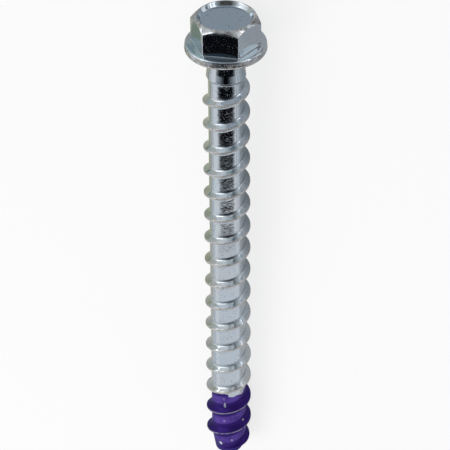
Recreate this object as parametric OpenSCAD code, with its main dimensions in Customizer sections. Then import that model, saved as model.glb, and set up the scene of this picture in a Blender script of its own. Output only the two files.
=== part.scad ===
// Hex flange head screw anchor, 6 mm hole size, 80 mm long under the head.
// Forged head with an indented top and a washer flange, rolled wide-pitch right-hand thread,
// blunt tapered tip that is dipped in paint. One piece of steel.

/* [Head] */
// Size across the flats of the hexagon
across_flats = 9.7; // [9.4:0.05:10]
// Size across the rounded corners of the hexagon
across_corners = 11.1; // [10.9:0.05:11.2]
// Height from the bearing face to the rim of the head
head_h = 6; // [5:0.1:7]
// Diameter of the rim round the indented top
rim_d = 9; // [8.4:0.1:9.2]
// Slope of the chamfer that trims the corners, in degrees
chamfer_angle = 41; // [30:1:48]
// Depth of the indented top
indent_depth = 0.7; // [0.3:0.05:1]
// Diameter of the flat floor of the indent
indent_floor_d = 7.8; // [7:0.1:8.2]
// Turn of the hexagon about the screw's axis, in degrees
hex_turn = -10.5; // [-30:0.5:30]

/* [Flange] */
// Diameter of the washer flange
flange_d = 13; // [12:0.1:14]
// Height of the flange where it meets the hexagon
flange_root_h = 1.5; // [1.3:0.05:1.8]
// Height of the flange's upper edge
flange_edge_h = 1.32; // [1.1:0.02:1.5]
// Radius of the flange's lower edge
lower_edge_r = 0.4; // [0.2:0.05:0.5]
// Radius of the flange's upper edge
upper_edge_r = 0.3; // [0.1:0.05:0.4]
// How far the flange's side leans in from the lower edge to the upper
side_lean = 0.12; // [0:0.02:0.2]

/* [Neck] */
// Diameter of the plain neck under the flange
neck_d = 6; // [5.8:0.05:6.2]
// Diameter of the raised bead where the plain neck ends
bead_d = 6.3; // [6.1:0.05:6.5]
// Distance from the bearing face to the top of the bead
bead_at = 4.7; // [4:0.1:5.5]
// Radius between the bearing face and the neck
neck_fillet_r = 0.3; // [0.1:0.05:0.4]

/* [Shank] */
// Length from the bearing face to the end of the tip
screw_len = 80; // [60:1:100]
// Diameter of the core that carries the thread
core_d = 5.7; // [5.5:0.05:5.8]
// Length of the tapered tip
tip_len = 4; // [3:0.5:6]
// Diameter at the narrow end of the tip
tip_d = 4.4; // [3.6:0.1:5]
// Radius round the end of the tip
tip_edge_r = 0.6; // [0.3:0.1:0.9]

/* [Thread] */
// Outside diameter of the thread
thread_d = 7.5; // [7:0.1:8]
// Distance between neighbouring turns
pitch = 4.4; // [3.5:0.1:5]
// Width of the flat on the crest
crest_w = 0.3; // [0.2:0.05:0.5]
// Width of the ridge where it meets the core
root_w = 1.4; // [1.1:0.05:1.8]
// Distance from the bearing face to the crest, on the side that faces up
crest_at = 3.9; // [3:0.1:4.4]

/* [Hidden] */

// Facets round a turned surface, and round each turn of the thread
round_fn = 96;
turn_steps = 32;
// Steps along each rounded edge of a profile
arc_steps = 5;

across_corners_sharp = across_flats / cos(30);
neck_r = neck_d / 2;
core_r = core_d / 2;
thread_r = thread_d / 2;
flange_r = flange_d / 2;

// How deep the foot of the thread is buried in the core, and how wide it is there
buried = 0.3;
buried_w = 1.9;
// Height at which the flank bends outwards into its root, and the ridge's width there
bend_h = 0.15;
bend_w = root_w - 0.2;
// How far the rounded crest edge falls, and how far it reaches in from the ridge's side
crest_drop = 0.06;
crest_round = 0.07;

// Angles are counted round the screw's axis. The crest's place along the axis is given at this one.
up_angle = -90;
// The thread grows out of the bead over this many degrees and fades out at the tip over as many more
run_in_start = -215;
run_in_turn = 105;
run_out_turn = 135;
run_out_past = 45;
// Both ends of the ridge start this far under the surface of the core
end_sink = 0.15;
// Whole turns from the first crest on the upper side down to the one where the thread ends
turns_to_tip = 17;
run_out_end = up_angle - run_out_past - 360 * turns_to_tip;

// The screw lies on the rounded rim of its flange and on the last crest ahead of the tapered tip.
// It rolls about its axis by this much, in degrees, until the crest on the tip touches as well.
rest_roll = 30;
rest_crest_at = crest_at + pitch * (turns_to_tip - 1.5 + rest_roll / 360);
rest_drop = flange_r - lower_edge_r - thread_r;
rest_reach = rest_crest_at + crest_w / 2 - crest_round + lower_edge_r;
rest_tilt = atan(rest_drop / rest_reach) + asin(lower_edge_r / norm([rest_drop, rest_reach]));

// Height along the axis of the crest at an angle that is counted in one piece over all the turns
function crest_z(a) = -crest_at + pitch * (a - up_angle) / 360;

// Share of the thread's full height at an angle, from 0 at its ends to 1 between them
function smooth(t) = let (c = min(1, max(0, t))) c * c * (3 - 2 * c);
function fullness(a) =
    smooth((run_in_start - a) / run_in_turn) *
    smooth((a - run_out_end) / run_out_turn);

// Points of an arc about a centre, in a profile of radius and height
function arc(c, r, from, to) =
    [for (i = [0 : arc_steps]) let (a = from + (to - from) * i / arc_steps) [c.x + r * cos(a), c.y + r * sin(a)]];

// Hexagon with its corners taken down to the forged size and its top chamfered all round
module hexagon() {
    chamfer_drop = (across_corners - rim_d) / 2 * tan(chamfer_angle);
    intersection() {
        rotate([0, 0, hex_turn])
            cylinder(h = head_h, d = across_corners_sharp, $fn = 6);
        rotate_extrude($fn = round_fn)
            polygon([
                [0, 0], [across_corners / 2, 0], [across_corners / 2, head_h - chamfer_drop],
                [rim_d / 2, head_h], [0, head_h]
            ]);
    }
}

// Shallow dish pressed into the top, with a sloped wall, a flat floor and a narrow rim round it
module indent() {
    rim_land = 0.12;
    floor_r = indent_floor_d / 2;
    floor_z = head_h - indent_depth;
    wall_lean = (rim_d / 2 - rim_land - floor_r) / indent_depth;
    above = 0.5;
    rotate_extrude($fn = round_fn)
        polygon([
            [0, floor_z], [floor_r, floor_z],
            [floor_r + (indent_depth + above) * wall_lean, head_h + above], [0, head_h + above]
        ]);
}

// Washer flange, neck, bead, core and tip turned as one outline
module turned_body() {
    edge_in = flange_r - side_lean - upper_edge_r;
    tip_z = -screw_len;
    bead_half = 0.45;
    rotate_extrude($fn = round_fn)
        polygon(concat(
            [[0, flange_root_h], [across_flats / 2, flange_root_h]],
            arc([edge_in, flange_edge_h - upper_edge_r], upper_edge_r, 80, 8),
            arc([flange_r - lower_edge_r, lower_edge_r], lower_edge_r, 0, -90),
            arc([neck_r + neck_fillet_r, -neck_fillet_r], neck_fillet_r, 90, 180),
            [[neck_r, -bead_at + 3 * bead_half], [bead_d / 2, -bead_at], [core_r, -bead_at - bead_half]],
            [[core_r, tip_z + tip_len]],
            arc([tip_d / 2 - tip_edge_r, tip_z + tip_edge_r], tip_edge_r, 8, -90),
            [[0, tip_z]]
        ));
}

// Section of the ridge as radius and height from its middle, at a share of its full height.
// The ridge gets narrower as it gets lower, down to this share of its width.
function ridge_section(f) =
    let (
        end_share = 0.4,
        half = (end_share + (1 - end_share) * f) / 2,
        top = core_r - end_sink + (thread_r - core_r + end_sink) * f,
        bend = min(core_r + bend_h, top - crest_drop),
        low = core_r - buried - end_sink,
        side = [
            [low, buried_w * half], [bend - (1 - f) * end_sink / 2, bend_w * half],
            [top - crest_drop, crest_w * half], [top, (crest_w - 2 * crest_round) * half]
        ]
    )
    concat([for (p = side) [p.x, -p.y]], [for (i = [3 : -1 : 0]) side[i]]);

// Ridge swept down the core as one right-hand helix
module thread() {
    steps = ceil((run_in_start - run_out_end) / 360 * turn_steps);
    sides = len(ridge_section(1));
    rings = [
        for (i = [0 : steps])
            let (a = run_in_start + (run_out_end - run_in_start) * i / steps, sink = tip_sink(crest_z(a)))
            [for (p = ridge_section(fullness(a))) [(p.x - sink) * cos(a), (p.x - sink) * sin(a), crest_z(a) + p.y]]
    ];
    skin = [
        for (i = [0 : steps - 1], j = [0 : sides - 1])
            let (k = (j + 1) % sides, m = i * sides, n = m + sides)
            each [[m + j, n + j, n + k], [m + j, n + k, m + k]]
    ];
    polyhedron(
        points = [for (ring = rings) each ring],
        faces = concat([[for (j = [0 : sides - 1]) j]], skin, [[for (j = [0 : sides - 1]) steps * sides + sides - 1 - j]])
    );
}

// How far the ridge moves in to follow the tapered tip
function tip_sink(z) =
    let (top = -screw_len + tip_len)
    max(0, top - z) * (core_d - tip_d) / 2 / (tip_len - tip_edge_r);

// The screw as it lies on a level surface, head towards +Y and as far one way as the tip is the other
module resting() {
    rim_low = (flange_r - lower_edge_r) * cos(rest_tilt) + lower_edge_r * (1 - sin(rest_tilt));
    head_reach = head_h * cos(rest_tilt) + rim_d / 2 * sin(rest_tilt);
    tip_reach = (screw_len - tip_edge_r) * cos(rest_tilt) + (tip_d / 2 - tip_edge_r) * sin(rest_tilt) + tip_edge_r;
    translate([0, (tip_reach - head_reach) / 2, rim_low])
        rotate([-90 + rest_tilt, 0, 0])
            rotate([0, 0, rest_roll])
                children();
}

// The whole screw
module screw() {
    color("lightsteelblue")
        resting()
            difference() {
                union() {
                    turned_body();
                    hexagon();
                    thread();
                }
                indent();
            }
}

screw();
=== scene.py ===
# %% [markdown]
# # A hex washer head anchor screw
# The object is one piece of steel: a forged hexagon head with a dished top and a washer flange, and a
# rolled shank with a wide-pitch thread. It is zinc plated, and its tip has been dipped in purple paint.
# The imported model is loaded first. It gives the object's place and size, and everything made here is
# measured in that same frame, in metres.

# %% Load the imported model
import math

import bmesh
import bpy
import numpy as np
from mathutils import Matrix, Vector


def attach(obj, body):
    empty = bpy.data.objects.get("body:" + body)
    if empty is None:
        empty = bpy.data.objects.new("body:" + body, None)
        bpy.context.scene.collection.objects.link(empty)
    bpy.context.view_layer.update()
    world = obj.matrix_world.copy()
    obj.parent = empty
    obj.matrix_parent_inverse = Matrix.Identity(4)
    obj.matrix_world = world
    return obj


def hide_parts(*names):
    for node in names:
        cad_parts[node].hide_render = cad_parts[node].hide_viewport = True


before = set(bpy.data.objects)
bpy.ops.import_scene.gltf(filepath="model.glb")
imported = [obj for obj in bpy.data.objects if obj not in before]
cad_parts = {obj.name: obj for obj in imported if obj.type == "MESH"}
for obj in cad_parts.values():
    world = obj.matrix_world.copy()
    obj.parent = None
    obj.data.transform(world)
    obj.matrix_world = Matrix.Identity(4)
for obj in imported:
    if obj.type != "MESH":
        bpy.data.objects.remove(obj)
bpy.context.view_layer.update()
MM = 0.001

# %% [markdown]
# ## The screw's own sizes
# A screw is drawn standing on its axis, so its sizes are given that way: heights from the bearing face
# under the flange, up towards the head, and radii from the axis, all in millimetres. These first ones
# decide how the screw lies. The others come with the part that they shape.

# %% Sizes that decide how it lies
HEAD_H = 6.0
RIM_R = 4.5
FLANGE_R = 6.5
LOWER_EDGE_R = 0.4
SCREW_LEN = 80.0
TIP_R = 2.2
TIP_EDGE_R = 0.6
THREAD_R = 3.75
PITCH = 4.4
TURNS = 17
CREST_AT = 3.9
CREST_W = 0.3
CREST_ROUND = 0.07
print("thread of", 2 * THREAD_R, "x", SCREW_LEN, "mm, pitch", PITCH, "mm")

# %% [markdown]
# ## How it lies
# A screw can't stand unheld. It comes to rest on the rim of its flange and on a crest near its tip, so
# its axis leans: by the angle from the one radius to the other over the way between them, and a little
# more because the rim's edge is rounded. It also rolls, until the next crest, already sinking along the
# tapered tip, touches as well. The side that the photograph shows as the front then faces up and right.

# %% The lean of the axis and the way from screw sizes to the frame
ROLL = math.radians(30)
rest_drop = FLANGE_R - LOWER_EDGE_R - THREAD_R
rest_crest_at = CREST_AT + PITCH * (TURNS - 1.5 + ROLL / math.tau)
rest_reach = rest_crest_at + CREST_W / 2 - CREST_ROUND + LOWER_EDGE_R
LEAN = math.atan(rest_drop / rest_reach) + math.asin(LOWER_EDGE_R / math.hypot(rest_drop, rest_reach))
rim_low = (FLANGE_R - LOWER_EDGE_R) * math.cos(LEAN) + LOWER_EDGE_R * (1 - math.sin(LEAN))
head_reach = HEAD_H * math.cos(LEAN) + RIM_R * math.sin(LEAN)
tip_reach = (SCREW_LEN - TIP_EDGE_R) * math.cos(LEAN) + (TIP_R - TIP_EDGE_R) * math.sin(LEAN) + TIP_EDGE_R
AXIS = Vector((0, math.cos(LEAN), math.sin(LEAN)))
level = Vector((1, 0, 0))
upright = Vector((0, -math.sin(LEAN), math.cos(LEAN)))
FRONT = math.cos(ROLL) * upright + math.sin(ROLL) * level
SIDE = math.cos(ROLL) * level - math.sin(ROLL) * upright
BEARING = Vector((0, (tip_reach - head_reach) / 2 * MM, rim_low * MM))


def laid(points):
    """Screw coordinates (side, back, along the axis, in mm) to the frame, in metres."""
    turn = np.array([SIDE, -FRONT, AXIS])
    return np.asarray(points) @ turn * MM + np.array(BEARING)


print("the axis leans", round(math.degrees(LEAN), 2), "degrees")

# %% [markdown]
# ## The camera
# The photograph was taken with a long lens from about 46 cm, 36 degrees above square to the shank. Here
# the screw lies down, so the camera looks down on it by the same angle from its axis, with the head at
# the top of the picture. It aims close to the axis, 34 mm below the head.

# %% Camera
SENSOR = 36.0
VIEW_ABOVE = math.radians(35.81)
VIEW_ROLL = math.radians(-0.51)
VIEW_DISTANCE = 465.0
FOCAL_PX, FRAME_PX = 2880.6, 450
AIM_ALONG, AIM_SIDE = -33.64, -0.373

towards = math.cos(VIEW_ABOVE) * FRONT + math.sin(VIEW_ABOVE) * AXIS
upwards = math.cos(VIEW_ABOVE) * AXIS - math.sin(VIEW_ABOVE) * FRONT
right = math.cos(VIEW_ROLL) * SIDE + math.sin(VIEW_ROLL) * upwards
upwards = math.cos(VIEW_ROLL) * upwards - math.sin(VIEW_ROLL) * SIDE
camera = bpy.data.objects.new("camera", bpy.data.cameras.new("camera"))
camera.data.sensor_width = SENSOR
camera.data.lens = SENSOR * FOCAL_PX / FRAME_PX
camera.data.clip_start = 0.02
camera.matrix_world = Matrix((right, upwards, towards)).transposed().to_4x4()
camera.location = Vector(laid([[AIM_SIDE, 0, AIM_ALONG]])[0]) + towards * VIEW_DISTANCE * MM
bpy.context.scene.collection.objects.link(camera)
bpy.context.scene.camera = camera
bpy.context.scene.view_settings.view_transform = "Standard"
print("camera lens", round(camera.data.lens, 1), "mm")

# %% [markdown]
# ## The surface as one skin
# A bevel or a boolean would leave a seam where the head meets the shank. The real screw has none, so its
# skin is built as one mesh. The head and neck are rings: at each angle a column runs from the middle of
# the dished top, over the rim, down the hexagon and flange, to the neck. The angles are set closer
# together at the hexagon's six corners, which forging leaves round.

# %% Columns round the axis
ACROSS_FLATS = 9.7
CORNER_R = 0.32
HEX_TURN = -10.5
SECTOR = 60
FLAT_STEPS, CORNER_STEPS = 11, 4
apothem = ACROSS_FLATS / 2
half_sector = math.radians(SECTOR / 2)
corner_centre = (apothem - CORNER_R) / math.cos(half_sector)
corner_half = math.degrees(math.atan2(
    CORNER_R * math.sin(half_sector), corner_centre + CORNER_R * math.cos(half_sector)))
sector = np.concatenate([
    np.linspace(-corner_half, corner_half, CORNER_STEPS, endpoint=False),
    np.linspace(corner_half, SECTOR - corner_half, FLAT_STEPS, endpoint=False)])
COLUMNS = np.concatenate([sector + HEX_TURN + SECTOR * k for k in range(360 // SECTOR)])


def hex_radius(angle):
    """Radius of the hexagon with rounded corners at an angle in degrees."""
    from_corner = (angle - HEX_TURN + SECTOR / 2) % SECTOR - SECTOR / 2
    if abs(from_corner) <= corner_half:
        g = math.radians(from_corner)
        return corner_centre * math.cos(g) + math.sqrt(CORNER_R**2 - (corner_centre * math.sin(g))**2)
    return apothem / math.cos(math.radians(SECTOR / 2 - abs(from_corner)))


print(len(COLUMNS), "columns, hexagon", round(2 * hex_radius(HEX_TURN), 2), "mm across its corners")

# %% [markdown]
# ## Outlines with rounded corners
# Forging and rolling leave no sharp corner, and it is the small round ones that catch the light. So an
# outline is given by its corners alone, each with its rounding, and one function turns them into arcs.
# The more an edge stands out, the more it is rubbed, so each corner also says how worn it gets.


# %% A line with rounded corners
def rounded(corners, steps=4):
    """Points and wear along a line of corners: (radius, height, rounding, spans before it, wear)."""
    points, worn = [np.array(corners[0][:2])], [0.0]
    for before, corner, after in zip(corners, corners[1:], corners[2:]):
        rounding, spans, wear = corner[2:]
        p, q, s = (np.array(k[:2]) for k in (before, corner, after))
        back, on = (p - q) / np.linalg.norm(p - q), (s - q) / np.linalg.norm(s - q)
        half = math.acos(np.clip(back @ on, -1, 1)) / 2
        reach = rounding / math.tan(half)
        centre = q + (back + on) / np.linalg.norm(back + on) * rounding / math.sin(half)
        start, end = q + back * reach - centre, q + on * reach - centre
        sweep = math.pi - 2 * half
        points += [points[-1] + (centre + start - points[-1]) * k / spans for k in range(1, spans)]
        worn += [0.0] * (spans - 1)
        for k in range(steps + 1):
            t = k / steps
            w0, w1 = math.sin((1 - t) * sweep), math.sin(t * sweep)
            points.append(centre + (w0 * start + w1 * end) / math.sin(sweep))
            worn.append(wear * math.sin(math.pi * (t + 0.5) / 2))
    last, spans = np.array(corners[-1][:2]), corners[-1][3]
    points += [points[-1] + (last - points[-1]) * k / spans for k in range(1, spans + 1)]
    worn += [0.0] * spans
    return np.array(points), np.array(worn)


sample, _ = rounded([(0, 0, 0, 1, 0), (1, 0, 0.2, 1, 0), (1, 1, 0, 1, 0)])
print("one rounded corner between two ends:", len(sample), "points")

# %% [markdown]
# ## The head
# On the real screw the head is formed from the end of the rod in dies: dish, rim, chamfered hexagon and
# washer flange are one with the shank. It could be cut from a hexagonal and a round bar by booleans, but
# then its edges would stay sharp. As one outline, each edge gets its own rounding, and only the radius of
# the hexagon changes from one angle to the next.

# %% The head's column at an angle
RIM_LAND = 0.12
CHAMFER = math.radians(41)
INDENT_DEPTH = 0.7
INDENT_FLOOR_R = 3.9
FLANGE_ROOT_H = 1.5
FLANGE_EDGE_H = 1.32
FLANGE_LEAN = 0.12
UPPER_EDGE_R = 0.3
NECK_R = 3.0
BEAD_R = 3.15
BEAD_AT = 4.7
BEAD_HALF = 0.45
CORE_R = 2.85
JOIN_AT = -5.45


def head_column(angle):
    """The outline of dish, rim, hexagon, flange, neck and bead at this angle, from the axis outwards."""
    r = hex_radius(angle)
    chamfer_low = HEAD_H - (r - RIM_R) * math.tan(CHAMFER)
    slope = (FLANGE_ROOT_H - FLANGE_EDGE_H) / (FLANGE_R - apothem)
    floor = HEAD_H - INDENT_DEPTH
    return rounded([  # radius, height, rounding, spans before it, wear
        (0.0, floor, 0, 1, 0),  # middle of the dish
        (INDENT_FLOOR_R, floor, 0.16, 6, 0),  # foot of the dish's wall
        (RIM_R - RIM_LAND, HEAD_H, 0.05, 2, 0.7),  # inner edge of the rim
        (RIM_R, HEAD_H, 0.06, 1, 1),  # outer edge of the rim
        (r, chamfer_low, 0.12, 2, 0.6),  # lower end of the chamfer
        (r, FLANGE_ROOT_H - (r - apothem) * slope, 0.1, 5, 0),  # root of the flange
        (FLANGE_R - FLANGE_LEAN, FLANGE_EDGE_H, UPPER_EDGE_R, 3, 0.1),  # flange's upper edge
        (FLANGE_R, 0.0, LOWER_EDGE_R, 2, 0.5),  # flange's lower edge
        (NECK_R, 0.0, 0.3, 4, 0),  # top of the neck
        (NECK_R, -BEAD_AT + 3 * BEAD_HALF, 0.5, 3, 0),  # where the neck swells to the bead
        (BEAD_R, -BEAD_AT, 0.12, 2, 0.3),  # bead
        (CORE_R, -BEAD_AT - BEAD_HALF, 0.18, 1, 0),  # foot of the bead
        (CORE_R, JOIN_AT, 0, 1, 0),
    ])


columns = [head_column(a) for a in COLUMNS]
head = np.array([[(r * math.cos(math.radians(a)), r * math.sin(math.radians(a)), z) for r, z in line]
                 for a, (line, worn) in zip(COLUMNS, columns)])
print("head and neck:", head.shape[1], "rings")

# %% [markdown]
# ## Where the head is rubbed
# The outline says how worn each rounded edge is. The flange's side and the chamfer are rubbed all over,
# since they touch first when screws roll against each other, so they are found by their place.

# %% Wear of the head
SIDE_WEAR, CHAMFER_WEAR = 0.62, 0.58
SIDE_WIDTH, SIDE_FROM = 0.11, 0.1
CHAMFER_IN, CHAMFER_DEPTH = 0.05, 1.1
head_wear = np.array([worn for line, worn in columns])
radii, heights = np.hypot(head[..., 0], head[..., 1]), head[..., 2]
on_side = (radii > FLANGE_R - SIDE_WIDTH) & (heights > SIDE_FROM)
on_chamfer = (radii > RIM_R - CHAMFER_IN) & (heights > HEAD_H - CHAMFER_DEPTH)
head_wear = np.maximum(head_wear, np.where(on_side, SIDE_WEAR, np.where(on_chamfer, CHAMFER_WEAR, 0)))
print("worn points on the head:", int((head_wear > 0.5).sum()))

# %% [markdown]
# ## The threaded shank
# A thread is a helix, so the shank's mesh follows one: the section of one turn, from the middle of one
# gap to the middle of the next, is swept down the core, and each turn shares its edge with the one
# above. The lines of the mesh then run along the crest and the root, where light catches a thread. A
# screw modifier could turn the section too, but it can't follow the taper or fade the ridge out.

# %% Section of one turn
ROOT_W = 1.4
ROOT_ROUND = 0.42
ROOT_END = 1.0
GAP_ROWS = 4
flank, _ = rounded([
    (0.0, THREAD_R, 0, 1, 1),
    (CREST_W / 2, THREAD_R, CREST_ROUND, 1, 1),
    (ROOT_W / 2, CORE_R, ROOT_ROUND, 3, 0),
    (ROOT_END, CORE_R, 0, 1, 0),
], steps=5)
half_turn = [(u, r - CORE_R) for u, r in flank] + [
    (ROOT_END + (PITCH / 2 - ROOT_END) * k / GAP_ROWS, 0.0) for k in range(1, GAP_ROWS + 1)]
section = np.array([(-u, h) for u, h in half_turn[:0:-1]] + half_turn)[::-1]
print("one turn's section has", len(section), "points")

# %% [markdown]
# ## The tapered tip
# The tip is what finds the drilled hole: its end is blunt and the thread sinks with it. A cone could be
# added below the core, but the thread has to ride down it without a step. So the tip is an outline too,
# from the start of the taper to the middle of the end, and the sweep below reads its radius from there.

# %% The outline that the thread rides on
TIP_LEN = 4.0
TAPER_LEAD = 1.0
TAPER_ROUND = 1.2
END_R = 0.3  # the sweep ends on a ring of this radius
outline, _ = rounded([
    (CORE_R, -SCREW_LEN + TIP_LEN + TAPER_LEAD, 0, 1, 0),
    (CORE_R, -SCREW_LEN + TIP_LEN, TAPER_ROUND, 1, 0),
    (TIP_R, -SCREW_LEN, TIP_EDGE_R, 6, 0),
    (0.0, -SCREW_LEN, 0, 6, 0),
], steps=8)
run = np.concatenate([[0], np.cumsum(np.linalg.norm(np.diff(outline, axis=0), axis=1))])
TAPER_FROM, END_RUN = outline[0][1], run[-1] - END_R
print("the taper's outline is", round(run[-1], 2), "mm long")

# %% [markdown]
# ## Where the thread begins and ends
# Angles are counted over all the turns, downwards as negative. The ridge grows out of the bead over a
# third of a turn and fades out on the tip. Its crest was rolled up out of the steel by a die, so it is
# never quite even: three waves, each of about a hundredth of its height, stand for that.

# %% Height of the ridge along the helix
UP = -90.0
RUN_IN_START, RUN_IN_TURN = -215.0, 105.0
RUN_OUT_TURN, RUN_OUT_PAST = 135.0, 45.0
RUN_OUT_END = UP - RUN_OUT_PAST - 360 * TURNS


def ease(t):
    """A smooth step from 0 to 1."""
    t = np.clip(t, 0, 1)
    return t * t * (3 - 2 * t)


def fullness(angle):
    """Share of the thread's height at an angle counted over all the turns."""
    return ease((RUN_IN_START - angle) / RUN_IN_TURN) * ease((angle - RUN_OUT_END) / RUN_OUT_TURN)


def wobble(angle):
    """How far the crest is off its full height there, as a share of it: from 0 down to about -0.05."""
    t = math.radians(angle)
    return 0.01 * math.sin(0.37 * t) + 0.008 * math.sin(1.83 * t + 1) + 0.006 * math.sin(4.7 * t + 2) - 0.024


print("the thread runs from", RUN_IN_START, "to", RUN_OUT_END, "degrees")

# %% [markdown]
# ## The sweep
# One section stands at each column of the head, turn after turn, so neck and shank meet point to point.
# As the ridge fades it also gets narrower. Points that would pass the join above or the tip's end below
# are held there, so the helix starts and ends on a ring.

# %% Sweep the section down the core
NARROWEST = 0.4
first_angle = (JOIN_AT + PITCH / 2 + CREST_AT) / PITCH * 360 + UP
last_along = TAPER_FROM - END_RUN - PITCH / 2


def angle_of(step):
    """Angle of a step of the sweep, over all the turns: the steps are the head's columns."""
    turn, column = divmod(step, len(COLUMNS))
    return COLUMNS[column] + 360 * turn


shank = []
step = int(first_angle / 360 * len(COLUMNS)) - len(COLUMNS)
while angle_of(step) < first_angle:
    step += 1
while True:
    angle = angle_of(step)
    middle = -CREST_AT + PITCH * (angle - UP) / 360
    full = fullness(angle)
    narrowed = np.where(abs(section[:, 0]) < ROOT_END, NARROWEST + (1 - NARROWEST) * full, 1)
    down = np.clip(middle + section[:, 0] * narrowed, TAPER_FROM - END_RUN, JOIN_AT)
    rise = section[:, 1] * full * (1 + wobble(angle))
    past = np.maximum(TAPER_FROM - down, 0)
    radius = np.where(down > TAPER_FROM, CORE_R, np.interp(past, run, outline[:, 0])) + rise
    radius = np.where(down >= JOIN_AT, CORE_R, radius)
    height = np.where(down > TAPER_FROM, down, np.interp(past, run, outline[:, 1]))
    t = math.radians(angle)
    shank.append(np.stack([radius * math.cos(t), radius * math.sin(t), height], -1))
    if middle < last_along:
        break
    step -= 1
shank = np.array(shank)
print("shank:", len(shank), "sections")

# %% [markdown]
# ## Joining the skin
# Both grids become faces, the points that lie on each other are merged, and the ring between neck and
# shank closes by itself, because both use the same columns. Each point also stores its place in the
# screw's own millimetres, and how near it is to a crest. The finish reads those, so its grain has a
# real size and its wear falls on real edges.


# %% Build the mesh
def grid_faces(first, across, down, closed):
    """Faces of a grid of points from this index on. A closed one joins its last column to its first."""
    faces = []
    for c in range(across if closed else across - 1):
        here, there = first + c * down, first + (c + 1) % across * down
        faces += [(here + k, here + k + 1, there + k + 1, there + k) for k in range(down - 1)]
    return faces


NO_CREST = 9.0  # stored for the head, which is far from any crest
WORN_WIDTHS = 1.3  # how many crest widths from a crest's middle the wear ends
points = np.concatenate([head.reshape(-1, 3), shank.reshape(-1, 3)])
faces = grid_faces(0, *head.shape[:2], closed=True)
faces += grid_faces(head_wear.size, *shank.shape[:2], closed=False)
from_middle = np.tile(abs(section[:, 0]), len(shank))
to_crest = np.concatenate([np.full(head_wear.size, NO_CREST), from_middle])
wear = np.concatenate([head_wear.ravel(), np.clip(WORN_WIDTHS - from_middle / CREST_W, 0, 1)])

mesh = bpy.data.meshes.new("anchor_screw")
mesh.from_pydata(laid(points).tolist(), [], faces)
own_place = mesh.attributes.new("screw_mm", "FLOAT_VECTOR", "POINT")
own_place.data.foreach_set("vector", points.astype(np.float32).ravel())
for name, values in (("wear", wear), ("to_crest", to_crest)):
    mesh.attributes.new(name, "FLOAT", "POINT").data.foreach_set("value", values.astype(np.float32))
print("both grids:", len(mesh.vertices), "points,", len(mesh.polygons), "faces")

# %% Merge the grids and close the skin
MERGE, THINNEST = 2e-6, 1e-7
work = bmesh.new()
work.from_mesh(mesh)
bmesh.ops.remove_doubles(work, verts=work.verts, dist=MERGE)
bmesh.ops.dissolve_degenerate(work, edges=work.edges, dist=THINNEST)
bmesh.ops.holes_fill(work, edges=[e for e in work.edges if e.is_boundary], sides=len(COLUMNS))
bmesh.ops.recalc_face_normals(work, faces=work.faces)
open_edges = sum(len(e.link_faces) != 2 for e in work.edges)
for f in work.faces:
    f.smooth = True
work.to_mesh(mesh)
work.free()
screw = bpy.data.objects.new("anchor_screw", mesh)
bpy.context.scene.collection.objects.link(screw)
weighted = screw.modifiers.new("flat faces stay flat", "WEIGHTED_NORMAL")
weighted.keep_sharp = True
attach(screw, "root")
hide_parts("screw")
print("skin:", len(mesh.vertices), "points,", len(mesh.polygons), "faces,", open_edges, "open edges")

# %% [markdown]
# ## Helpers for materials
# Colours are written as sRGB hex, as a colour picker shows them. Blender works in linear light, so one
# function converts them. One more adds a node to the tree in hand, with its settings and links, and
# gives back the output that the next node needs, so that a tree reads from its first line to its last.


# %% Colour and node helpers
def linear(hex_colour):
    """An sRGB hex colour as linear RGBA."""
    parts = [int(hex_colour[k:k + 2], 16) / 255 for k in (1, 3, 5)]
    return [c / 12.92 if c <= 0.04045 else ((c + 0.055) / 1.055) ** 2.4 for c in parts] + [1.0]


def add(kind, inputs=(), out=0, **settings):
    """Adds a shader node and returns one output. Its inputs, in order or by name, are values or links."""
    node = tree.nodes.new("ShaderNode" + kind)
    for name, value in settings.items():
        setattr(node, name, value)
    for key, value in inputs.items() if isinstance(inputs, dict) else enumerate(inputs):
        if isinstance(value, bpy.types.NodeSocket):
            tree.links.new(value, node.inputs[key])
        else:
            node.inputs[key].default_value = value
    return node.outputs[out]


print("mid grey in linear light:", [round(c, 3) for c in linear("#808080")[:3]])

# %% [markdown]
# ## The finish
# The steel carries bright zinc plate, passivated with a faint blue, and paint on its tip. Both lie on one
# skin, so one material holds them, and masks say where each is. The masks read what the mesh stored: the
# place on the screw, the wear, and the distance from the middle of the crest, all in real millimetres.
# Separate materials for plate and paint would leave a hard edge between faces, where dipping leaves a
# wavy line.

# %% Texture space
finish = bpy.data.materials.new("bright_zinc_plate_with_dipped_tip")
finish.use_nodes = True
tree = finish.node_tree
surface = tree.nodes["Principled BSDF"]
mm = add("Attribute", out="Vector", attribute_name="screw_mm")
edge_near = add("Attribute", out="Fac", attribute_name="wear")
to_crest = add("Attribute", out="Fac", attribute_name="to_crest")
side, back, along = (add("SeparateXYZ", [mm], axis) for axis in "XYZ")
print("texture space:", len(tree.nodes), "nodes")

# %% [markdown]
# ## Zinc plate
# A metal's base colour is what it gives back of the light: bright zinc returns about half, a little more
# of the blue. The bath leaves soft clouds of a few millimetres. Small grey specks are specks of zinc salt,
# and brown stains are places where the bath dried. They are drawn about twice as coarse as real ones, to
# show at this distance. An image could hold all that, but a pattern keeps its real size everywhere. So
# each kind is a pattern, cut to patches, that lays its colour over the one below.

# %% Patterns and layers, and the clouds as the first layer
SMOOTH = {"interpolation_type": "SMOOTHSTEP"}


def pattern(size, detail=2.0, rough=0.5, shift=0.0, stretch=(1, 1, 1)):
    """Unevenness from 0 to 1, with features of this size in mm. The shift tells patterns apart."""
    placed = add("Mapping", {"Vector": mm, "Scale": stretch, "Location": (shift, 0, 0)})
    return add("TexNoise", {
        "Vector": placed, "Scale": 1 / size, "Detail": detail, "Roughness": rough}, "Fac")


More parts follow.
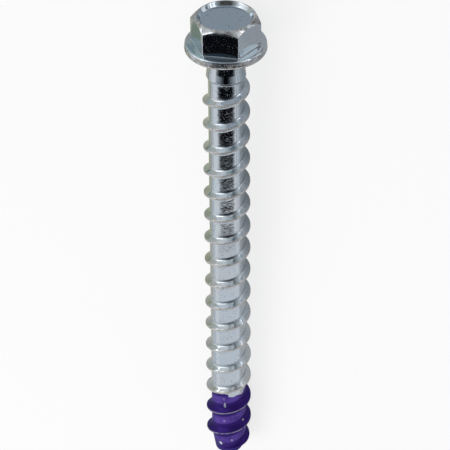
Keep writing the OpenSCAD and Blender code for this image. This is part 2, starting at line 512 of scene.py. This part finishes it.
def patches(size, low, high, detail=2.0, rough=0.5, shift=0.0, stretch=(1, 1, 1), to=(0.0, 1.0)):
    """Patches of a pattern: where it passes from low to high, they pass from one value to another."""
    return add("MapRange", [pattern(size, detail, rough, shift, stretch), low, high, *to], **SMOOTH)


def lay(colour, over, *shares):
    """A colour laid over another: the shares, masks or numbers, multiply to how much of it there is."""
    share = shares[0]
    for other in shares[1:]:
        share = add("Math", [share, other], operation="MULTIPLY")
    return add("Mix", {0: share, 6: over, 7: colour}, 2, data_type="RGBA")


zinc = lay(linear("#BEC4CB"), linear("#BAC4CD"), patches(5.0, 0.35, 0.65))
print("with the clouds:", len(tree.nodes), "nodes")

# %% Specks and stains
specks = patches(0.28, 0.61, 0.74, detail=1.0, shift=7.0)
zinc = lay(linear("#7C7672"), zinc, specks, 0.55)
stain_places = patches(2.4, 0.5, 0.62, detail=1.0, shift=15.0)
stains = patches(0.42, 0.56, 0.7, detail=3.0, rough=0.6, shift=13.0)
zinc = lay(linear("#9A8880"), zinc, stain_places, stains, 0.55)
print("with the plate:", len(tree.nodes), "nodes")

# %% [markdown]
# ## Rubbed edges
# Screws are plated loose in a barrel, by the hundred, and rub each other, most on the crests, the rim and
# the flange's side. There the plate is duller and warmer, and where it is worn through, brown steel
# shows. Patches break the wear up, because it is never even, and limits keep them to the edges.

# %% Wear in the colour
UNEVEN = 0.25


def within(value, *limits):
    """A value that each limit lets in: (what decides it, where there is none yet, from where all)."""
    for what, none, full in limits:
        share = add("MapRange", [what, none, full], **SMOOTH)
        value = add("Math", [value, share], operation="MULTIPLY")
    return value


uneven = patches(0.3, 0.3, 0.7, detail=4.0, rough=0.65, shift=3.0, to=(-UNEVEN, UNEVEN))
rub = add("Math", [edge_near, within(uneven, (edge_near, 0.1, 0.5))], operation="ADD")
rub = within(1.0, (rub, 0.4, 1.0))
zinc = lay(linear("#C0BDBA"), zinc, rub, 0.9)
bare_steel = within(patches(1.2, 0.37, 0.6, detail=3.0, rough=0.6, shift=21.0), (edge_near, 0.4, 0.65))
on_head = add("MapRange", [to_crest, 0.5, 8.0, 0.25, 0.8], **SMOOTH)
zinc = lay(linear("#7C6E66"), zinc, bare_steel, on_head, 0.72)
flecks = within(patches(0.4, 0.55, 0.68, detail=3.0, rough=0.65, shift=11.0), (edge_near, 0.5, 0.9))
zinc = lay(linear("#5E4F46"), zinc, flecks, 0.75)
print("with the wear:", len(tree.nodes), "nodes")

# %% [markdown]
# ## How much the plate shines
# Bright plate is nearly a mirror. Rubbing roughens it and leaves less of it, so there the surface counts
# as less metallic. The roots of the thread, which nothing rubs, keep a light haze from the bath, and
# more of it towards the tip.

# %% Metallic and roughness of the plate
POLISHED = (0.03, 0.07)
RUBBED_ROUGH, RUBBED_DULL = 0.34, 0.45
dull = add("Math", [rub, RUBBED_DULL], operation="MULTIPLY")
zinc_metallic = add("Math", [1.0, dull], operation="SUBTRACT")
haze = add("MapRange", [along, -28.0, -52.0, 0.08, 0.38], **SMOOTH)
haze = within(haze, (to_crest, 0.5, 0.65), (to_crest, 1.15, 0.95))
zinc_rough = patches(0.9, 0.3, 0.7, shift=5.0, to=POLISHED)
for more in (add("Math", [rub, RUBBED_ROUGH], operation="MULTIPLY"), haze):
    zinc_rough = add("Math", [zinc_rough, more], operation="ADD")
print("with the shine:", len(tree.nodes), "nodes")

# %% [markdown]
# ## The dipped tip
# The tip was pushed through a film of purple paint, a size code. The paint ends at the dipping line,
# lower between two turns where the ridge held it back. It is thin on the sharp crests, where it has
# rubbed through to the metal, and thin enough on the core for the plate to shine through. It is darker
# beside the ridge and on the flanks, which is painted shade from the ridge. A few chips show the plate.

# %% Where the paint is
DIP_AT = -66.55
HELD_BACK = 0.55
HELD_FROM, HELD_TO = -0.05, 2.42
held = within(
    HELD_BACK, (side, HELD_FROM - 0.06, HELD_FROM + 0.06), (side, HELD_TO + 0.08, HELD_TO - 0.08),
    (back, 0.0, -0.3))
line = along
for shift in (held, patches(0.8, 0.25, 0.75, detail=3.0, shift=2.0, to=(-0.12, 0.12))):
    line = add("Math", [line, shift], operation="ADD")
painted = within(1.0, (line, DIP_AT + 0.06, DIP_AT - 0.06))
thin = patches(0.5, 0.3, 0.5, shift=9.0, to=(0.0, 0.5))
thin = within(thin, (edge_near, 0.85, 1.0), (along, -76.6, -75.8))
left_on = add("Math", [1.0, thin], operation="SUBTRACT")
painted = add("Math", [painted, left_on], operation="MULTIPLY")
print("paint from", DIP_AT, "mm down")

# %% Chips in the paint: place on the screw, radius, squash along the axis (1 is round), and how bare
CHIPS = [
    ((-0.68, -2.77, -68.9), 0.2, 0.4, 0.6),
    ((-0.85, -2.72, -67.7), 0.2, 0.6, 0.15),
    ((-1.43, -2.15, -77.65), 0.3, 1.0, 1.0),
    ((0.44, -2.71, -76.65), 0.25, 0.8, 0.35),
    ((2.36, -1.71, -72.93), 0.2, 0.8, 0.5),
    ((-0.79, -2.74, -72.42), 0.18, 0.8, 0.35)]
ragged = patches(0.3, 0.2, 0.8, shift=17.0, to=(0.6, 1.4))
for middle, size, squash, bare_share in CHIPS:
    off = add("VectorMath", [mm, middle], operation="SUBTRACT")
    off = add("VectorMath", [off, (1, 1, squash)], operation="MULTIPLY")
    away = add("VectorMath", [off], "Value", operation="LENGTH")
    away = add("Math", [away, ragged], operation="MULTIPLY")
    left_on = add("MapRange", [away, size * 0.8, size * 1.1, 1 - bare_share, 1.0], **SMOOTH)
    painted = add("Math", [painted, left_on], operation="MULTIPLY")
print(len(CHIPS), "chips")

# %% [markdown]
# ## Paint and metal on one surface
# Dipping lacquer is a thin, tinted film on bright metal, so where it is thin the metal below still gives
# it some shine: it counts as half metallic, and rougher than the plate. Where it ran together, at the
# tip's end and in pools, it is darker, because light crosses more of it. The same darker purple beside
# the ridge and on its flanks is painted shade.

# %% Colour of the paint: painted shade by the ridge and on its flanks, thick at the tip's end and in pools
flat_place = add("VectorMath", [mm, (1, 1, 0)], operation="MULTIPLY")
from_axis = add("VectorMath", [flat_place], "Value", operation="LENGTH")
# Beside the ridge and on the flanks this darker purple is painted shade; at the tip's end and in pools it is
# thicker paint.
shade_and_thick_paint = within(1.0, (to_crest, 1.75, 1.2))
on_flanks = within(1.0, (from_axis, CORE_R + 0.02, CORE_R + 0.2))
at_end = within(0.8, (along, -76.0, -78.0))
for share in (on_flanks, at_end, patches(1.4, 0.35, 0.7, shift=4.0, to=(0.0, 0.6))):
    shade_and_thick_paint = add("Math", [shade_and_thick_paint, share], operation="MAXIMUM")
# Light purple on the core; the dark purple is painted shade by the ridge and on the flanks, and thick paint
# elsewhere.
purple = lay(linear("#2E1A66"), linear("#5A4298"), shade_and_thick_paint)
print("with the paint:", len(tree.nodes), "nodes")

# %% Plate and paint together
PAINT_ROUGH = (0.34, 0.46)
PAINT_METALLIC = 0.5
unpainted = add("Math", [1.0, painted], operation="SUBTRACT")
plate_part = add("Math", [zinc_metallic, unpainted], operation="MULTIPLY")
paint_part = add("Math", [painted, PAINT_METALLIC], operation="MULTIPLY")
paint_rough = patches(0.8, 0.3, 0.7, shift=6.0, to=PAINT_ROUGH)
for name, value in {
        "Base Color": lay(purple, zinc, painted),
        "Specular Tint": lay(linear("#8A78D0"), linear("#FFFFFF"), painted),
        "Metallic": add("Math", [plate_part, paint_part], operation="ADD"),
        "Roughness": add("Mix", {0: painted, 2: zinc_rough, 3: paint_rough}, data_type="FLOAT")}.items():
    tree.links.new(value, surface.inputs[name])
print("with both:", len(tree.nodes), "nodes")

# %% [markdown]
# ## Dents
# A mirror doubles every tilt, so dents of a few thousandths of a millimetre, which tilt the plate by
# about a degree, break the edges of dark reflections into specks. There are three kinds: fine streaks
# that run across the shank, wider swells, and sparse pits. A bump node takes their heights in real
# millimetres. The forged head has them about a quarter shallower than the shank. The paint is a film
# of 0.03 mm, drawn by the same bump as a step.

# %% Heights in millimetres
STREAK_DEPTH, SWELL_DEPTH, PIT_DEPTH = 0.006, 0.008, 0.0035
PAINT_FILM = 0.03
streaks = pattern(0.22, 2.0, 0.6, stretch=(0.65, 0.65, 1.2))
dents = add("Math", [streaks, STREAK_DEPTH], operation="MULTIPLY")
swells = add("Math", [pattern(0.8, 1.0), SWELL_DEPTH], operation="MULTIPLY")
pits = patches(0.14, 0.66, 0.8, 1.0, 0.5, 23.0, stretch=(0.8, 0.8, 1.1), to=(0.0, PIT_DEPTH))
for more in (swells, pits):
    dents = add("Math", [dents, more], operation="ADD")
forged_or_rolled = add("MapRange", [along, 0.0, -4.5, 0.72, 1.0], **SMOOTH)
dents = add("Math", [dents, forged_or_rolled], operation="MULTIPLY")
film = add("Math", [painted, PAINT_FILM], operation="MULTIPLY")
height = add("Math", [dents, film], operation="ADD")
bump = add("Bump", {"Strength": 1.0, "Distance": MM, "Height": height})
tree.links.new(bump, surface.inputs["Normal"])
mesh.materials.append(finish)
print("the finish has", len(tree.nodes), "nodes")

# %% [markdown]
# ## The floor
# The screw lies on plain white board. A matt board at a plain level of light renders as a pale grey, so
# three quarters of what is seen of it is its own white, and the rest takes the light and the shadow.

# %% Floor
FLOOR_HALF = 1.5
OWN_WHITE = 0.75


def seen_directly():
    """1 where the camera looks, straight or by way of metal or glass, and 0 where a surface is only lit."""
    seen = add("LightPath", out="Is Camera Ray")
    for name in ("Is Glossy Ray", "Is Transmission Ray"):
        seen = add("Math", [seen, add("LightPath", out=name)], operation="MAXIMUM")
    return seen


corners = [(x * FLOOR_HALF, y * FLOOR_HALF, 0) for x, y in ((-1, -1), (1, -1), (1, 1), (-1, 1))]
floor_mesh = bpy.data.meshes.new("floor")
floor_mesh.from_pydata(corners, [], [(0, 1, 2, 3)])
floor = bpy.data.objects.new("floor", floor_mesh)
bpy.context.scene.collection.objects.link(floor)
white_board = bpy.data.materials.new("matt_white_board")
white_board.use_nodes = True
tree = white_board.node_tree
tree.nodes.remove(tree.nodes["Principled BSDF"])
share = add("Math", [seen_directly(), OWN_WHITE], operation="MULTIPLY")
matt = add("BsdfDiffuse", {"Color": linear("#F6F6F6")})
own = add("Emission", {"Color": linear("#FFFFFF")})
tree.links.new(add("MixShader", [share, matt, own]), tree.nodes["Material Output"].inputs["Surface"])
floor_mesh.materials.append(white_board)
print("floor:", 2 * FLOOR_HALF, "m wide")

# %% [markdown]
# ## The light tent
# Shiny metal has hardly any look of its own: it shows what is round it. So the light is set as for a
# product photograph, in a white tent at the plain level where a colour renders as it is written. Where
# the tent is seen, also in the metal, it is pure white, and where it only lights it is softer. Cycles
# would also sample the tent on its own, straight through the cards that come below, so that is off.

# %% World
TENT_LIGHT = 0.7
world = bpy.data.worlds.new("light_tent")
bpy.context.scene.world = world
world.use_nodes = True
world.cycles.sampling_method = "NONE"
tree = world.node_tree
fill = tree.nodes["Background"]
fill.inputs["Color"].default_value = linear("#FFFFFF")
fill.inputs["Strength"].default_value = TENT_LIGHT
white = add("Background", {"Color": linear("#FFFFFF"), "Strength": 1.0})
both = add("MixShader", [seen_directly(), fill.outputs[0], white])
tree.links.new(both, tree.nodes["World Output"].inputs["Surface"])
print("tent light", TENT_LIGHT)

# %% [markdown]
# ## The key lamp
# One wide softbox over the left, towards the tip, lights the paint and gives the shadow its direction.
# The metal doesn't show it. What the metal shows as windows are cards, below.

# %% Softbox
KEY_SIZE, KEY_AWAY, KEY_POWER = 300.0, 500.0, 0.9
KEY_ROUND, KEY_ALONG = math.radians(-62), math.radians(-30)
aim = math.cos(KEY_ROUND) * FRONT + math.sin(KEY_ROUND) * SIDE
aim = math.cos(KEY_ALONG) * aim + math.sin(KEY_ALONG) * AXIS
key = bpy.data.objects.new("softbox", bpy.data.lights.new("softbox", "AREA"))
key.data.shape = "SQUARE"
key.data.size = KEY_SIZE * MM
key.data.energy = KEY_POWER
key.location = aim * KEY_AWAY * MM
key.rotation_euler = aim.to_track_quat("Z", "Y").to_euler()
key.visible_glossy = False
bpy.context.scene.collection.objects.link(key)
print("softbox at", [round(c, 2) for c in key.location], "m")

# %% [markdown]
# ## Cards
# A photographer shapes the reflections in metal with cards, just outside the picture. Each card here is
# seen by reflections alone: it lights nothing, throws no shadow, and the camera looks through it. A card
# is a sheet through rows of points, and each point has the colour that it shows, so that a card can fade
# from one grey to another. A strength over 1 makes it a window, brighter than white.

# %% What a card is made of
glow = bpy.data.materials.new("card")
glow.use_nodes = True
tree = glow.node_tree
tree.nodes.remove(tree.nodes["Principled BSDF"])
lit = add("Emission", {"Color": add("Attribute", out="Color", attribute_name="shown")})
tree.links.new(lit, tree.nodes["Material Output"].inputs["Surface"])
cards = []


def card(name, rows, strength=1.0):
    """A sheet through rows of frame points; each row is (points in metres, a colour or one for each)."""
    across = len(rows[0][0])
    sheet = bpy.data.meshes.new(name)
    sheet.from_pydata([tuple(p) for row, _ in rows for p in row], [], [
        (r * across + k, r * across + k + 1, (r + 1) * across + k + 1, (r + 1) * across + k)
        for r in range(len(rows) - 1) for k in range(across - 1)])
    shades = []
    for row, codes in rows:
        for code in [codes] * across if isinstance(codes, str) else codes:
            shades += [c * strength for c in (linear(code) if isinstance(code, str) else code)]
    colour = sheet.attributes.new("shown", "FLOAT_COLOR", "POINT")
    colour.data.foreach_set("color", shades)
    sheet.materials.append(glow)
    made = bpy.data.objects.new(name, sheet)
    bpy.context.scene.collection.objects.link(made)
    made.visible_camera = False
    made.visible_diffuse = False
    made.visible_shadow = False
    cards.append(made)


print("cards are made of", len(tree.nodes), "nodes")

# %% [markdown]
# ## The black card overhead
# The dark stripe down the shank and the black front of the hexagon are one black card, far away, so it is
# placed by direction: how far its rows rise along the axis, and from where to where they reach round it.
# The camera looks along the core at a slightly flatter angle at each turn, so the card's lower end, at 37
# degrees down, is where the stripe fades out. Above, the card turns grey, for the flanks.

# %% Rows by direction, with colours that fade from the middle of a row to its ends
CARD_AWAY = 1200.0
ROW_POINTS = 13
BLACK = "#101115"


def overhead(rise, left, far):
    """A far row of points, by direction from the screw: rise along its axis and the arc's two ends."""
    turn = np.radians(np.linspace(left, far, ROW_POINTS))
    across, height = math.cos(math.radians(rise)), math.sin(math.radians(rise))
    row = np.stack([across * np.sin(turn), -across * np.cos(turn), np.full(ROW_POINTS, height)], -1)
    return laid(CARD_AWAY * row)


def fade(middle, ends, sharp):
    """Colours along a row, from the ends' colour to the middle's."""
    shares = np.clip((1 - abs(np.linspace(-1, 1, ROW_POINTS))) * sharp, 0, 1)
    return [np.array(linear(middle)) * t + np.array(linear(ends)) * (1 - t) for t in shares]


STRIPE_ROWS = [
    (-37.15, -14, 13, BLACK, BLACK, 1),
    (-37, -27, 26, BLACK, BLACK, 1),
    (-36.8, -38, 38, BLACK, "#B0B4B8", 5),
    (-36.3, -46, 46, BLACK, "#B0B4B8", 5),
    (-35.4, -51, 50, BLACK, "#B0B4B8", 4),
    (-33.5, -59, 57, BLACK, "#B0B4B8", 4),
    (-30.5, -66, 63, BLACK, "#B0B4B8", 4),
    (-28, -62, 59, BLACK, "#B0B4B8", 2.2),
    (-24, -60, 57, BLACK, "#CCD0D4", 1.3),
    (-19, -62, 59, "#08080A", "#D4D8DC", 1.3),
    (-8, -62, 59, "#202428", "#D0D4D8", 1.4),
    (8, -62, 59, "#444E58", "#C0C4C8", 1.8),
    (20, -63, 59, "#343C42", "#B8BEC2", 1.8),
    (31, -54, 50, "#545454", "#D0D6DA", 2),
    (41, -48, 43, "#5C5A58", "#D0D6DA", 2),
    (49, -44, 40, "#585E62", "#A0A8AC", 1.6),
    (57, -52, 52, "#6C7276", "#A8ACB0", 1),
    (67, -54, 54, "#707478", "#9C9EA0", 1),
    (78, -60, 60, "#9C9EA0", "#9C9EA0", 1)]
card("black_card", [
    (overhead(rise, left, far), fade(middle, ends, sharp))
    for rise, left, far, middle, ends, sharp in STRIPE_ROWS])
print("black card:", len(STRIPE_ROWS), "rows")

# %% [markdown]
# ## The tip's card and the windows
# The black card would also show in the last turns, so a pale card close round the tip stands in front of
# it there. Three more far cards stand where the tent had an edge or a window: two bright ones, which
# give glints wherever a surface leans that way, and a pale screen low on the left.

# %% Tip card, left screen and windows
TIP_CARD_R = 40.0


def round_tip(height):
    """A row of points round the upper side of the tip."""
    turn = np.radians(np.linspace(-62, 59, ROW_POINTS))
    return laid([(TIP_CARD_R * math.sin(t), -TIP_CARD_R * math.cos(t), height) for t in turn])


card("tip_card", [(round_tip(height), code) for height, code in (
    (-61, "#C8CCD0"), (-66, "#F0F3F6"), (-120, "#F0F3F6"))])
card("left_screen", [(overhead(rise, -118, -92), "#DEE3E6") for rise in (-46, -20)])
card("left_window", [(overhead(rise, left, far), code) for rise, left, far, code in (
    (22, -103, -62, "#A0A0A0"), (32, -108, -62, "#B4B4B4"), (38, -110, -62, "#FCFCFC"),
    (43, -106, -62, "#FCFCFC"), (49, -99, -58, "#FCFCFC"), (58, -96, -58, "#A0A0A0"))], 3.6)
card("right_window", [(overhead(rise, left, 58), code) for rise, left, code in (
    (26, 46, "#B4B4B4"), (36, 48, "#FCFCFC"), (47, 48, "#FCFCFC"))], 2.0)
print(len(cards), "cards so far")

# %% [markdown]
# ## Boards beside the screw
# What the sides of the core, the flanks and the hexagon reflect is near the floor: olive and teal boards
# on the left, and grey ones on the right, darker close to the screw and paler further out. They lie a
# little over the floor, and get paler towards the tip. Most are level or upright, so three small
# functions place them by millimetres on the floor plan.


# %% Ways to place a card on the floor plan
def on_floor(height, *places):
    """Frame points in metres for places given in mm on the floor plan."""
    return [(x * MM, y * MM, height * MM) for x, y in places]


def board(name, height, xs, rows):
    """A level card with columns at xs and rows of (y, colours), in mm."""
    card(name, [(on_floor(height, *((x, y) for x in xs)), codes) for y, codes in rows])


def strip(name, height, rows, strength=1.0):
    """A level card with rows of (y, left end, right end, colours), in mm."""
    card(name, [(on_floor(height, (left, y), (far, y)), codes) for y, left, far, codes in rows], strength)


def standing(name, places, rows):
    """An upright card over places on the floor plan, with rows of (height, colours), in mm."""
    card(name, [(on_floor(height, *places), codes) for height, codes in rows])


# %% Left: olive beside the shank, teal beside the head
board("olive_board", 0.3, (-3.5, -30), [
    (-150, "#DCDCD8"),
    (-45, ["#DCDAD4", "#D0D0C8"]),
    (-20, ["#D0CEC6", "#BEBFB4"]),
    (-2, ["#BCBFA8", "#B0B49C"]),
    (8, ["#B8BBA4", "#A8AC94"]),
    (20, ["#C6C9B2", "#CACCB8"]),
    (37, "#BCBCB0")])
board("olive_board_far", 0.3, (-30, -125), [
    (-150, "#DCDCD8"),
    (-45, ["#D0D0C8", "#C4C5B8"]),
    (-20, ["#CECEC4", "#C0C1B4"]),
    (8, ["#CCCEC0", "#C8C8BC"]),
    (37, ["#C8CABE", "#DCDED6"])])
EDGE_YS = (-110, -80, -50, 60)
EDGE_OLIVE = ["#DCDCDC", "#BEC2BE", "#A6AA9A", "#B8BBAA"]
card("olive_board_edge", [(on_floor(height, *((x, y) for y in EDGE_YS)), codes) for x, height, codes in (
    (-124, 0.3, EDGE_OLIVE), (-125, 12, EDGE_OLIVE), (-128, 36, "#E6E6E0"))])
standing("far_left_board", ((-128, 60), (-128, 200)), [
    (0.3, ["#DEDED4", "#C8CCC0"]), (25, "#D0CEC8"), (45, "#F0F0EC")])
board("face_board", 1.2, (-34, -18.5), [(y, "#8A988A") for y in (21, 29)])
strip("teal_board", 0.5, [
    (37.3, -125, -3.5, ["#D6D8D0", "#BCBCB0"]),
    (44, -125, -3.5, ["#C4D2CE", "#AEB0B0"]),
    (60, -125, -9.5, ["#B2C6C4", "#D0E4E0"]),
    (200, -125, -9.5, ["#C8CCC0", "#C8D4D4"])])
board("flange_board", 0.9, (-16, -9.5), [(y, "#97A8AC") for y in (46.5, 54)])
board("dish_board", 0.8, (-9.5, 1), [(y, "#A8B2BA") for y in (43.3, 54)])
print(len(cards), "cards so far")

# %% Right: grey beside the shank, paler further out
board("grey_board", 0.4, (0.8, 3, 10), [
    (-70, ["#C0C0BC", "#C8CACA", "#D8DADC"]),
    (-18, ["#BEC0BC", "#C8C8C6", "#CACAC8"]),
    (-5, ["#949894", "#989C9E", "#BEC0C0"]),
    (12, ["#8C9290", "#868C90", "#B0B4B6"]),
    (24, ["#8C9290", "#868C90", "#A8ACB0"]),
    (36, ["#A8ACAC", "#B8BCC0", "#BABFC2"]),
    (62, "#B8BEC2")])
board("pale_board", 0.4, (10, 18, 40), [
    (-70, ["#D8DADC", "#F4F4F6", "#F8F8FA"]),
    (-18, ["#CECECE", "#F2F2F4", "#F8F8FA"]),
    (8, ["#B6B9BB", "#E8EAEE", "#DCDEE2"]),
    (21, ["#AEB2B6", "#DADCDE", "#C4C8CC"]),
    (30, ["#B8BBBE", "#BEC2C6", "#C0C4C8"]),
    (60, "#B2B8BC")])
board("right_board_far", 0.35, (40, 130), [(y, "#C6CACE") for y in (-30, 66)])
strip("right_board", 0.4, [
    (60, 10, 25, "#B2B8BC"), (75, 10, 27, "#B2B8BA"), (115, 10, 51, "#B0B6B8"), (200, 10, 91, "#B4BABC")])
standing("side_screen", ((6.5, 37.2), (26, 37.2)), [(z, "#B6BABE") for z in (0.5, 5)])
print(len(cards), "cards so far")

# %% [markdown]
# ## Glints on the head
# The head's faces lean, so they look at the floor close behind it and beside it. Small bright cards there
# make the pale patches in the dish's wall, on the flange and on the right face, and a grey one stands
# between them. A wide window further out on the right gives the glints on that side.

# %% Glints
strip("dish_glint", 0.7, [
    (42.8, -0.7, 4, "#FCFCFC"), (47, -0.7, 4.5, "#FCFCFC"), (52, 0.5, 7, "#FCFCFC")], 1.15)
strip("chamfer_board", 0.6, [(42.5, 4.5, 8, "#989898"), (49, 5.5, 9, "#989898")])
card("flange_glint", [
    (on_floor(0.9, (8.4, 44.5), (10.8, 43.5)), "#F4FFFF"),
    (on_floor(0.9, (12, 55), (14.8, 53.5)), "#F4FFFF")], 1.3)
card("face_glint", [
    (on_floor(0.9, (12, 38), (12, 41.5)), "#F4FFFF"),
    (on_floor(0.9, (22, 43), (22, 47)), "#F4FFFF")], 1.3)
strip("right_window_low", 0.5, [
    (61, 26, 90, "#D0D0D0"), (70, 26, 110, "#FCFCFC"),
    (115, 54, 160, "#FCFCFC"), (200, 100, 200, "#C8C8C8")], 2.6)
strip("dish_window", 3.5, [(48, 2.5, 6, "#F0F4F6"), (52, 5, 10, "#FCFCFC"), (56, 9, 14, "#FCFCFC")], 1.5)
print(len(cards), "cards so far")

# %% [markdown]
# ## The board behind the head
# The chamfer and the upper sides of the flanks look backwards, past the head. The board there is pale
# on the left and darkest a little to the right of the screw: blue-grey low down, for the flanks, and a
# warm grey higher up, for the chamfer.

# %% Back board
BACK_AT = 200
BACK_XS = (-200, -100, -50, -20, 20, 33, 50, 90)
standing("back_board", [(x, BACK_AT) for x in BACK_XS], [
    (0, ["#C8CCC4", "#DCDEDA", "#C8D0D0", "#A5B4BA", "#96A6AC", "#A8B2B6", "#CCD6D8", "#E0E8EA"]),
    (57, ["#D9DAD6", "#ECF0F0", "#D0DADC", "#A8B8BE", "#566670", "#80888C", "#A4A8AA", "#D4D8D8"]),
    (63, ["#E4E4E0", "#F0F4F4", "#D8E0E2", "#B8C4C8", "#88989E", "#8C8E8E", "#92908E", "#D0D4D4"]),
    (71, ["#E8E8E4", "#F2F6F8", "#E0E6E8", "#C4CED2", "#D8E4E6", "#9C9692", "#827C78", "#C0C2C4"]),
    (83, ["#F4F4EE", "#F2F6F8", "#E8ECEE", "#CACFD0", "#E8EEEE", "#B0AEAC", "#807C7A", "#B8BABC"]),
    (115, ["#FFFFFA", "#FCFCF8", "#F0F4F4", "#B4B4B4", "#B4B8B8", "#B0B0B0", "#A4A4A4", "#B4B8BA"])])
print(len(cards), "cards")
